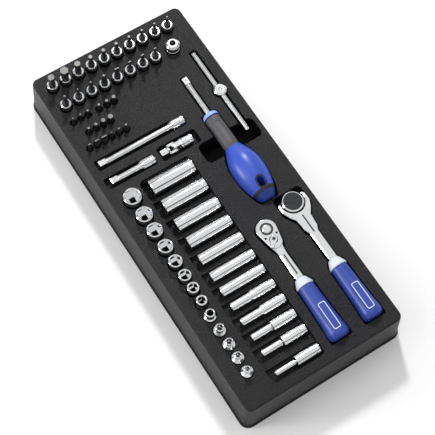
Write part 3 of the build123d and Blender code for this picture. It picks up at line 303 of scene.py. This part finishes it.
def polished_chrome(name="Chrome vanadium polished chrome", dim=1.0):
    """Chrome vanadium steel, turned, polished and chrome plated: white metal that mirrors the room.

    dim makes a darker copy of the chrome, for the sleeves and the holder.
    """
    made, tree, shader = new_material(name, Metallic=1.0, Roughness=0.09)
    if tree is None:
        return made
    base = shaded(linear(colours().chrome), dim)
    spot = position(tree)
    haze = add_node(tree, "ShaderNodeTexNoise", {"Vector": spot, "Scale": 1 / PLATE_HAZE, "Detail": 3.0})
    rough = add_node(
        tree, "ShaderNodeMapRange",
        {"Value": haze.outputs["Fac"], "From Min": 0.3, "From Max": 0.7, "To Min": 0.07, "To Max": 0.13},
    )
    tree.links.new(rough.outputs["Result"], shader.inputs["Roughness"])
    darker = shaded(base, 0.96)
    tree.links.new(two_tone(tree, haze.outputs["Fac"], darker, base), shader.inputs["Base Color"])
    # faint polishing scratches under the plate
    scratches = add_node(
        tree, "ShaderNodeTexNoise", {"Vector": spot, "Scale": 1 / sizes().grind_pitch, "Detail": 2.0}
    )
    bump = add_node(
        tree, "ShaderNodeBump", {"Height": scratches.outputs["Fac"], "Strength": 0.05, "Distance": 0.02 * MM}
    )
    tree.links.new(bump.outputs["Normal"], shader.inputs["Normal"])
    return made


def ground_steel():
    """Bare steel, ground: greyer and rougher than the chrome round it."""
    made, tree, shader = new_material("Steel ground", Metallic=1.0, Roughness=0.34)
    if tree is None:
        return made
    base = linear(colours().steel)
    spot = position(tree)
    marks = add_node(
        tree, "ShaderNodeTexNoise", {"Vector": spot, "Scale": 1 / sizes().grind_pitch, "Detail": 4.0}
    )
    darker = shaded(base, 0.7)
    tree.links.new(two_tone(tree, marks.outputs["Fac"], darker, base), shader.inputs["Base Color"])
    bump = add_node(
        tree, "ShaderNodeBump", {"Height": marks.outputs["Fac"], "Strength": 0.3, "Distance": 0.04 * MM}
    )
    tree.links.new(bump.outputs["Normal"], shader.inputs["Normal"])
    return made


def black_oxide(name, tip_height):
    """S2 bit steel, black oxide with a ground end: near black with a dull sheen, grey above tip_height. Its
    black also serves as painted shade in neck grooves, blind bores and on the lever's pin.
    """
    made, tree, shader = new_material(name, Metallic=0.6, Roughness=0.4)
    if tree is None:
        return made
    spot = position(tree)
    split = add_node(tree, "ShaderNodeSeparateXYZ", {"Vector": spot})
    bare = add_node(
        tree, "ShaderNodeMapRange",
        {"Value": split.outputs["Z"], "From Min": tip_height - 0.25 * MM, "From Max": tip_height},
    )
    grain = add_node(tree, "ShaderNodeTexNoise", {"Vector": spot, "Scale": 1 / OXIDE_GRAIN, "Detail": 3.0})
    base = linear(colours().oxide)
    worn = shaded(base, 1.8)
    skin = two_tone(tree, grain.outputs["Fac"], base, worn)
    tree.links.new(
        two_tone(tree, bare.outputs["Result"], skin, linear(colours().bit_tip)), shader.inputs["Base Color"]
    )
    bump = add_node(
        tree, "ShaderNodeBump", {"Height": grain.outputs["Fac"], "Strength": 0.25, "Distance": 0.03 * MM}
    )
    tree.links.new(bump.outputs["Normal"], shader.inputs["Normal"])
    return made


def moulded(name, hex_colour, roughness):
    """Injection-moulded plastic with a sand-blasted mould: even colour, fine grain, soft highlight."""
    made, tree, shader = new_material(name, Roughness=roughness, IOR=1.49)
    if tree is None:
        return made
    base = linear(hex_colour)
    spot = position(tree)
    sand = add_node(
        tree, "ShaderNodeTexNoise", {"Vector": spot, "Scale": 1 / sizes().sand_grain, "Detail": 2.0}
    )
    flow = add_node(tree, "ShaderNodeTexNoise", {"Vector": spot, "Scale": 1 / FLOW_MARK, "Detail": 3.0})
    light = shaded(base, FLOW_PALER)
    tree.links.new(two_tone(tree, flow.outputs["Fac"], base, light), shader.inputs["Base Color"])
    rough = add_node(
        tree, "ShaderNodeMapRange",
        {"Value": sand.outputs["Fac"], "From Min": 0.3, "From Max": 0.7,
         "To Min": roughness - 0.06, "To Max": roughness + 0.06},
    )
    tree.links.new(rough.outputs["Result"], shader.inputs["Roughness"])
    bump = add_node(
        tree, "ShaderNodeBump", {"Height": sand.outputs["Fac"], "Strength": 0.25, "Distance": 0.03 * MM}
    )
    tree.links.new(bump.outputs["Normal"], shader.inputs["Normal"])
    return made


def bright_blue_polypropylene():
    """Polypropylene, injection moulded in satin blue: a bright, even blue with a broad soft highlight."""
    return moulded("Polypropylene satin bright blue", colours().bulb_blue, SATIN)


def blue_polypropylene():
    """Polypropylene, injection moulded in satin blue: the deeper blue of the ratchet grips."""
    return moulded("Polypropylene satin blue", colours().grip_blue, SATIN)


def dark_blue_polypropylene():
    """Polypropylene, injection moulded in satin dark blue: sets the end cap off from the bulb."""
    return moulded("Polypropylene satin dark blue", colours().cap_blue, SATIN)


def grey_tpe():
    """Thermoplastic elastomer, overmoulded: a soft grey with almost no highlight."""
    return moulded("TPE soft grey", colours().core_grey, 0.55)


def shade_and_tpe_black():
    """Thermoplastic elastomer, overmoulded in black: a dull band that swallows light; its black is also
    painted shade round the ratchet's button and under its lever.
    """
    return moulded("Soft black TPE and painted shade", colours().band_black, 0.5)


def pale_nylon():
    """Nylon, injection moulded: pale grey, with a slight waxy sheen."""
    return moulded("Nylon satin pale grey", colours().collar_grey, 0.4)


def pale_blue_polypropylene():
    """Polypropylene, injection moulded in satin pale blue: a light ring between the grey and the steel."""
    return moulded("Polypropylene satin pale blue", colours().front_blue, SATIN)


def glossy_black_nylon():
    """Nylon, injection moulded in a polished mould: black with a sharp highlight."""
    return moulded("Nylon glossy black", colours().disc_black, 0.22)


def printed_pale_blue():
    """Ink, pad-printed on the grip: a thin pale line with no depth of its own."""
    return moulded("Ink pad-printed pale blue", colours().label_pale, 0.45)


def matt_paper():
    """Studio paper, rolled and uncoated: a white with no highlight."""
    return new_material("Paper matt white", Roughness=0.9, Base_Color=linear(colours().floor))[0]


def paint(name, material):
    """Gives a CAD node one material."""
    node = NODES[name]
    if not node.material_slots:
        node.data.materials.append(material)
    for material_slot in node.material_slots:
        material_slot.material = material


# ---------------------------------------------------------------- mesh helpers

def mesh_piece(name, mesh, material, body):
    """Makes an object of a bmesh, with smooth shading and its body."""
    bmesh.ops.recalc_face_normals(mesh, faces=mesh.faces)
    data = bpy.data.meshes.new(name)
    mesh.to_mesh(data)
    mesh.free()
    data.shade_smooth()
    data.set_sharp_from_angle(angle=math.radians(32))
    data.materials.append(material)
    piece = bpy.data.objects.new(name, data)
    bpy.context.scene.collection.objects.link(piece)
    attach(piece, body)
    return piece


def circle(centre, radius, segments):
    """Points of a circle, in the plane it is used in."""
    angles = [2 * math.pi * step / segments for step in range(segments)]
    return [(centre[0] + radius * math.cos(angle), centre[1] + radius * math.sin(angle)) for angle in angles]


def skin(mesh, sections, closed):
    """Joins loops of vertices into a solid, round to the first loop when closed, else with two caps."""
    count = len(sections)
    for step in range(count if closed else count - 1):
        near, far = sections[step], sections[(step + 1) % count]
        for corner in range(len(near)):
            following = (corner + 1) % len(near)
            mesh.faces.new((near[corner], far[corner], far[following], near[following]))
    if not closed:
        mesh.faces.new(sections[0])
        mesh.faces.new(list(reversed(sections[-1])))
    return mesh


def lathe(stations, axis_x, axis_z, segments=96):
    """A closed body turned about an axis along Y, from (y, radius) stations."""
    mesh = bmesh.new()
    sections = [
        [mesh.verts.new((x, y, z)) for x, z in circle((axis_x, axis_z), radius, segments)]
        for y, radius in stations
    ]
    return skin(mesh, sections, closed=False)


def rounded_rectangle(width, length, radius, corner_steps=6):
    """Points of a rounded rectangle about the origin."""
    points = []
    for quarter, (sign_x, sign_y) in enumerate(((1, 1), (-1, 1), (-1, -1), (1, -1))):
        centre_x = sign_x * (width / 2 - radius)
        centre_y = sign_y * (length / 2 - radius)
        for step in range(corner_steps + 1):
            angle = math.pi / 2 * (quarter + step / corner_steps)
            points.append((centre_x + radius * math.cos(angle), centre_y + radius * math.sin(angle)))
    return points


def upright(profile, centre, closed, segments=72):
    """A body turned about the vertical through centre, from (radius, z) points."""
    mesh = bmesh.new()
    sections = [
        [mesh.verts.new((x, y, z)) for x, y in circle(centre, radius, segments)] for radius, z in profile
    ]
    return skin(mesh, sections, closed)


def washer(centre, inner, outer, low, high):
    """A flat ring between two heights."""
    return upright(((inner, low), (outer, low), (outer, high), (inner, high)), centre, closed=True)


def button(centre, radius, low, high, edge):
    """A low round button with a bevelled rim, standing on the line through centre."""
    profile = ((radius, low), (radius, high - edge), (radius - edge, high))
    return upright(profile, centre, closed=False, segments=64)


def surface(name):
    """A search tree of a CAD node's own surface."""
    return BVHTree.FromObject(NODES[name], bpy.context.evaluated_depsgraph_get())


def height_on(tree, x, y):
    """Height of the surface at x, y, seen from above."""
    hit = tree.ray_cast(Vector((x, y, 1.0)), Vector((0, 0, -1)))[0]
    if hit is None:
        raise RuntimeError(f"nothing lies under {x:.4f}, {y:.4f}")
    return hit.z


def radius_on(tree, axis_x, axis_z, y):
    """Radius of a turned body at y, measured from its side."""
    hit = tree.ray_cast(Vector((axis_x + 1.0, y, axis_z)), Vector((-1, 0, 0)))[0]
    if hit is None:
        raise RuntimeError(f"nothing lies beside {y:.4f}")
    return hit.x - axis_x


def overlay(tree, rails, lift, sunk, closed):
    """A thin solid strip that follows a surface between pairs of points, seen from above."""
    mesh = bmesh.new()
    sections = []
    for left, right in rails:
        heights = [height_on(tree, *left), height_on(tree, *right)]
        sections.append([
            mesh.verts.new((*left, heights[0] + lift)),
            mesh.verts.new((*right, heights[1] + lift)),
            mesh.verts.new((*right, heights[1] - sunk)),
            mesh.verts.new((*left, heights[0] - sunk)),
        ])
    return skin(mesh, sections, closed)


def groove_rails(x, start, end, width, steps=16):
    """Rails of a straight line along Y."""
    return [
        ((x - width / 2, start + (end - start) * step / steps),
         (x + width / 2, start + (end - start) * step / steps))
        for step in range(steps + 1)
    ]


def frame_rails(centre, width, length, radius, line):
    """Rails of a rounded frame, its line inside the outline."""
    outer = rounded_rectangle(width, length, radius)
    inner = rounded_rectangle(width - 2 * line, length - 2 * line, radius - line * 0.7)
    return [
        ((centre[0] + a[0], centre[1] + a[1]), (centre[0] + b[0], centre[1] + b[1]))
        for a, b in zip(outer, inner)
    ]


def axis_of(name):
    """Middle of a CAD node's box, as (x, z): the axis of a body turned about Y."""
    low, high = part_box(name)
    return (low.x + high.x) / 2, (low.z + high.z) / 2


# ---------------------------------------------------------------- the pieces

def label_frame(grip, body, name):
    """Pad-printed frame round the raised plate of a grip."""
    low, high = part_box(grip)
    middle = ((low.x + high.x) / 2, low.y + PLATE_FROM_END)
    width, length = sizes().label_width - 2 * FRAME_INSET, sizes().label_length - 2 * FRAME_INSET
    rails = frame_rails(middle, width, length, FRAME_CORNER, sizes().label_line)
    mesh = overlay(surface(grip), rails, lift=0.04 * MM, sunk=0.1 * MM, closed=True)
    return mesh_piece(name, mesh, printed_pale_blue(), body)


def neck_groove(node, body, name, y_from, y_to):
    """Painted shade: a dark strip along the bottom of the groove in a ratchet's neck, between two Y places in
    mm.
    """
    low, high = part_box(node)
    rails = groove_rails((low.x + high.x) / 2, y_from * MM, y_to * MM, sizes().groove_shade_width)
    mesh = overlay(surface(node), rails, lift=0.05 * MM, sunk=0.1 * MM, closed=False)
    return mesh_piece(name, mesh, black_oxide("Groove shade black", NO_BARE_TIP), body)


def turned_skin(tree, axis, y_from, y_to, lift, sunk, steps=14):
    """A skin round a turned body between two Y places, following its outline; its rims sink into the body."""
    axis_x, axis_z = axis
    stations = []
    for step in range(steps + 1):
        y = y_from + (y_to - y_from) * step / steps
        stations.append((y, radius_on(tree, axis_x, axis_z, y) + (lift if 0 < step < steps else 0.0)))
    rims = [(y, reach - sunk) for y, reach in (stations[0], stations[-1])]
    return lathe([rims[0], *stations, rims[1]], axis_x, axis_z)


class SOCKETSET_OT_tray(bpy.types.Operator):
    """Gives the moulded tray its pebbled black ABS"""

    bl_idname = "socket_set.tray"
    bl_label = "Tray"

    def execute(self, context):
        paint("tray", pebbled_abs())
        return {"FINISHED"}


class SOCKETSET_OT_sockets(bpy.types.Operator):
    """Chrome plates the short and deep sockets and the sleeves that carry bits"""

    bl_idname = "socket_set.sockets"
    bl_label = "Sockets"

    def execute(self, context):
        chrome = polished_chrome()
        darker_chrome = polished_chrome("Chrome vanadium darker chrome", dim=0.75)
        plated = [name for name in NODES if name.startswith(("short_socket_", "deep_socket_"))]
        if len(plated) != 25:
            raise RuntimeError(f"expected 25 sockets, found {len(plated)}")
        for name in [*plated, "key_bit_sleeves", "screw_bit_sleeves", "bit_holder"]:
            paint(name, chrome if name in plated else darker_chrome)
        # painted shade: a dark disc on the floor of each blind bore, for the shade deep in the narrow hole
        for size, across in BLIND_BORES:
            node = f"short_socket_{size}"
            low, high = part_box(node)
            middle = ((low.x + high.x) / 2, (low.y + high.y) / 2)
            floor = height_on(surface(node), *middle)
            shadow = button(
                middle, radius=(across / 2 - 0.1) * MM, low=floor - 0.1 * MM, high=floor + 0.15 * MM,
                edge=0.05 * MM,
            )
            dark = black_oxide("Bore painted shade", NO_BARE_TIP)
            mesh_piece(f"{node}_bore_painted_shade", shadow, dark, f"short_{size}")
        return {"FINISHED"}


class SOCKETSET_OT_bits(bpy.types.Operator):
    """Blackens the bits and leaves their ends bare"""

    bl_idname = "socket_set.bits"
    bl_label = "Bits"

    def execute(self, context):
        for name in ("key_bits", "screw_bits", "loose_star_bits", "loose_hexagon_bits", "loose_screw_bits"):
            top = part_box(name)[1].z
            socketed = not name.startswith("loose_")
            bare_from = top - (SOCKETED_TIP if socketed else LOOSE_TIP)
            paint(name, black_oxide(f"S2 steel black oxide {name}", bare_from))
        return {"FINISHED"}


class SOCKETSET_OT_bars(bpy.types.Operator):
    """Finishes the extensions, the universal joint and the sliding T-handle"""

    bl_idname = "socket_set.bars"
    bl_label = "Extensions, joint and T-handle"

    def execute(self, context):
        chrome, steel = polished_chrome(), ground_steel()
        for name in ("long_extension", "short_extension", "universal_female_fork", "universal_male_fork",
                     "t_handle_bar", "t_handle_head"):
            paint(name, chrome)
        paint("universal_cross", steel)
        return {"FINISHED"}


class SOCKETSET_OT_spinner(bpy.types.Operator):
    """Builds the spinner handle: front collar, soft core, blue grip, black band and end cap"""

    bl_idname = "socket_set.spinner"
    bl_label = "Spinner handle"

    collar: FloatProperty(
        name="Collar", description="Length of the front collar", default=5.2 * MM, unit="LENGTH"
    )
    band_front: FloatProperty(
        name="Band front", description="Front of the black band, from the grip's end", default=10.1 * MM,
        unit="LENGTH",
    )
    band_back: FloatProperty(
        name="Band back", description="Back of the black band, from the grip's end", default=6.1 * MM,
        unit="LENGTH",
    )

    def execute(self, context):
        paint("spinner_shank", polished_chrome())
        paint("spinner_core", grey_tpe())
        paint("spinner_grip", bright_blue_polypropylene())
        low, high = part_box("spinner_grip")
        axis = axis_of("spinner_grip")
        tree = surface("spinner_grip")
        band = turned_skin(
            tree, axis, low.y + self.band_front, low.y + self.band_back, lift=0.12 * MM, sunk=0.8 * MM
        )
        mesh_piece("spinner_band", band, shade_and_tpe_black(), "spinner")
        cap = turned_skin(
            tree, axis, low.y + self.band_back - 0.05 * MM, low.y + 0.15 * MM, lift=0.10 * MM, sunk=0.6 * MM
        )
        mesh_piece("spinner_end_cap", cap, dark_blue_polypropylene(), "spinner")
        collar = turned_skin(
            tree, axis, high.y - 0.3 * MM, high.y - self.collar, lift=0.10 * MM, sunk=0.5 * MM
        )
        mesh_piece("spinner_front_collar", collar, pale_blue_polypropylene(), "spinner")
        # soft trim round the mouth of the hanging hole
        hole_y = low.y + 16.0 * MM
        rails = frame_rails(
            (axis[0], hole_y), width=10.8 * MM, length=14.4 * MM, radius=5.3 * MM, line=1.5 * MM
        )
        trim = overlay(tree, rails, lift=0.10 * MM, sunk=0.4 * MM, closed=True)
        mesh_piece("spinner_hole_trim", trim, shade_and_tpe_black(), "spinner")
        return {"FINISHED"}


class SOCKETSET_OT_ratchet(bpy.types.Operator):
    """Builds the ratchet: plated body, painted shade round the button and under the lever, lever pin with a
    painted-shade head, collar, grip and printed frame
    """

    bl_idname = "socket_set.ratchet"
    bl_label = "Ratchet"

    def execute(self, context):
        chrome, steel = polished_chrome(), ground_steel()
        for name in ("ratchet_body", "ratchet_cover", "ratchet_release_button", "ratchet_reversing_lever"):
            paint(name, chrome)
        for name in ("ratchet_drive_gear", "ratchet_pawl"):
            paint(name, steel)
        paint("ratchet_screws", black_oxide("Screw steel black oxide", NO_BARE_TIP))
        paint("ratchet_collar", pale_nylon())
        paint("ratchet_grip", blue_polypropylene())
        label_frame("ratchet_grip", "ratchet", "ratchet_label_frame")
        # painted shade along the bottom of the neck groove
        neck_groove("ratchet_body", "ratchet", "ratchet_neck_shade_strip", y_from=-93.0, y_to=-117.0)
        # painted shade: a black ring let into the gear's hub, round the release button, for the dark groove
        # there
        low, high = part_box("ratchet_release_button")
        middle = ((low.x + high.x) / 2, (low.y + high.y) / 2)
        beside_button = middle[0] + 5.7 * MM
        hub_top = height_on(surface("ratchet_drive_gear"), beside_button, middle[1])
        button_shade = washer(
            middle, inner=4.8 * MM, outer=6.5 * MM, low=hub_top - 0.5 * MM, high=hub_top + 0.12 * MM
        )
        mesh_piece("ratchet_button_shade_ring", button_shade, shade_and_tpe_black(), "ratchet_drive")
        # the lever turns on a riveted pin; the black ring under it is painted shade, for the dark gap round
        # the lever
        cover_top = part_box("ratchet_cover")[1].z
        lever_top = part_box("ratchet_reversing_lever")[1].z
        pivot = (middle[0], middle[1] - LEVER_BEHIND_DRIVE)
        gap_shade = washer(
            pivot, inner=3.5 * MM, outer=4.5 * MM, low=cover_top - 0.3 * MM, high=cover_top + 0.1 * MM
        )
        mesh_piece("ratchet_lever_gap_shade", gap_shade, shade_and_tpe_black(), "ratchet")
        # painted shade: the pin's head is black, for the dark hole at the pivot
        pin = button(
            pivot, radius=1.8 * MM, low=lever_top - 0.6 * MM, high=lever_top + 0.25 * MM, edge=0.2 * MM
        )
        mesh_piece(
            "ratchet_lever_pin", pin, black_oxide("Pin head painted shade", NO_BARE_TIP), "ratchet_lever",
        )
        return {"FINISHED"}


class SOCKETSET_OT_flex_ratchet(bpy.types.Operator):
    """Builds the flexible-head ratchet: fork, head, disc, collar, grip and printed frame"""

    bl_idname = "socket_set.flex_ratchet"
    bl_label = "Flexible-head ratchet"

    def execute(self, context):
        chrome, steel = polished_chrome(), ground_steel()
        for name in ("flex_ratchet_fork", "flex_ratchet_head"):
            paint(name, chrome)
        for name in ("flex_ratchet_drive_gear", "flex_ratchet_hinge_pins"):
            paint(name, steel)
        paint("flex_ratchet_reversing_disc", glossy_black_nylon())
        paint("flex_ratchet_collar", pale_nylon())
        paint("flex_ratchet_grip", blue_polypropylene())
        label_frame("flex_ratchet_grip", "flex_ratchet", "flex_ratchet_label_frame")
        # painted shade along the bottom of the neck groove
        neck_groove("flex_ratchet_fork", "flex_ratchet", "flex_ratchet_neck_shade_strip", y_from=-67.5, y_to=-89.0)
        return {"FINISHED"}


class SOCKETSET_OT_stage(bpy.types.Operator):
    """Makes the floor, the white surround, the lights and the camera"""

    bl_idname = "socket_set.stage"
    bl_label = "Stage"

    def execute(self, context):
        scene = context.scene
        studio = scene.socket_set_studio
        scene.view_settings.view_transform = "Standard"
        floor_mesh = bpy.data.meshes.new("floor")
        half = FLOOR_HALF_WIDTH
        corners = [(-half, -half, 0), (half, -half, 0), (half, half, 0), (-half, half, 0)]
        floor_mesh.from_pydata(corners, [], [(0, 1, 2, 3)])
        floor = bpy.data.objects.new("floor", floor_mesh)
        scene.collection.objects.link(floor)
        floor_mesh.materials.append(matt_paper())

        world = bpy.data.worlds.new("Studio")
        scene.world = world
        world.use_nodes = True
        tree = world.node_tree
        background = tree.nodes["Background"]
        direction = add_node(tree, "ShaderNodeTexCoord").outputs["Generated"]
        split = add_node(tree, "ShaderNodeSeparateXYZ", {"Vector": direction})
        bands = add_node(tree, "ShaderNodeValToRGB", {"Fac": split.outputs["Z"]})
        ramp = bands.color_ramp
        for place, level in STUDIO_BANDS:
            stop = ramp.elements.new(place) if 0 < place < 1 else ramp.elements[int(place)]
            stop.color = (level, level, level, 1.0)
        tree.links.new(bands.outputs["Color"], background.inputs["Color"])
        background.inputs["Strength"].default_value = studio.sky

        low, high = CAD_BOX
        middle = Vector(((low.x + high.x) / 2, (low.y + high.y) / 2, high.z * 0.6))
        for name, spot, width, share in LIGHTS:
            lamp = bpy.data.lights.new(name, "AREA")
            lamp.shape = "DISK"
            lamp.size = width
            lamp.energy = studio.key_power * share
            light = bpy.data.objects.new(name, lamp)
            light.location = spot
            light.rotation_mode = "QUATERNION"
            light.rotation_quaternion = (middle - light.location).to_track_quat("-Z", "Y")
            scene.collection.objects.link(light)

        # back points from the aim to the camera; the picture's right and down are then turned by the roll
        round_z, height, lean = studio.azimuth, studio.elevation, studio.roll
        back = Vector((
            math.sin(round_z) * math.cos(height), -math.cos(round_z) * math.cos(height), math.sin(height)
        ))
        right = (-back).cross(Vector((0, 0, 1))).normalized()
        down = (-back).cross(right)
        leaning_right = math.cos(lean) * right + math.sin(lean) * down
        leaning_down = -math.sin(lean) * right + math.cos(lean) * down
        aim = Vector((studio.aim_x, studio.aim_y, TRAY_TOP))
        turned = Matrix((leaning_right, -leaning_down, back)).transposed()
        camera_data = bpy.data.cameras.new("camera")
        camera_data.lens = studio.lens
        camera_data.sensor_width = 36.0
        camera_data.clip_start, camera_data.clip_end = 0.05, 20.0
        camera = bpy.data.objects.new("camera", camera_data)
        camera.matrix_world = Matrix.Translation(aim + back * studio.distance) @ turned.to_4x4()
        scene.collection.objects.link(camera)
        scene.camera = camera
        return {"FINISHED"}


class SOCKETSET_PT_panel(bpy.types.Panel):
    """Colours, sizes and steps of the socket set"""

    bl_idname = "SOCKETSET_PT_panel"
    bl_label = "Socket Set"
    bl_space_type = "VIEW_3D"
    bl_region_type = "UI"
    bl_category = "Socket Set"

    def draw(self, context):
        for group in (
            context.scene.socket_set_colours, context.scene.socket_set_sizes, context.scene.socket_set_studio
        ):
            box = self.layout.box()
            for name in group.__annotations__:
                box.prop(group, name)
        for step in STEPS:
            self.layout.operator(step.bl_idname)


STEPS = (
    SOCKETSET_OT_tray,
    SOCKETSET_OT_sockets,
    SOCKETSET_OT_bits,
    SOCKETSET_OT_bars,
    SOCKETSET_OT_spinner,
    SOCKETSET_OT_ratchet,
    SOCKETSET_OT_flex_ratchet,
    SOCKETSET_OT_stage,
)
CLASSES = (SocketSetColours, SocketSetSizes, SocketSetStudio, *STEPS, SOCKETSET_PT_panel)


def register():
    for made in CLASSES:
        bpy.utils.register_class(made)
    bpy.types.Scene.socket_set_colours = PointerProperty(type=SocketSetColours)
    bpy.types.Scene.socket_set_sizes = PointerProperty(type=SocketSetSizes)
    bpy.types.Scene.socket_set_studio = PointerProperty(type=SocketSetStudio)


def unregister():
    for name in ("socket_set_studio", "socket_set_sizes", "socket_set_colours"):
        delattr(bpy.types.Scene, name)
    for made in reversed(CLASSES):
        bpy.utils.unregister_class(made)


def main():
    """Builds the whole set."""
    register()
    bpy.ops.socket_set.tray()
    bpy.ops.socket_set.sockets()
    bpy.ops.socket_set.bits()
    bpy.ops.socket_set.bars()
    bpy.ops.socket_set.spinner()
    bpy.ops.socket_set.ratchet()
    bpy.ops.socket_set.flex_ratchet()
    bpy.ops.socket_set.stage()


if __name__ == "__main__":
    main()
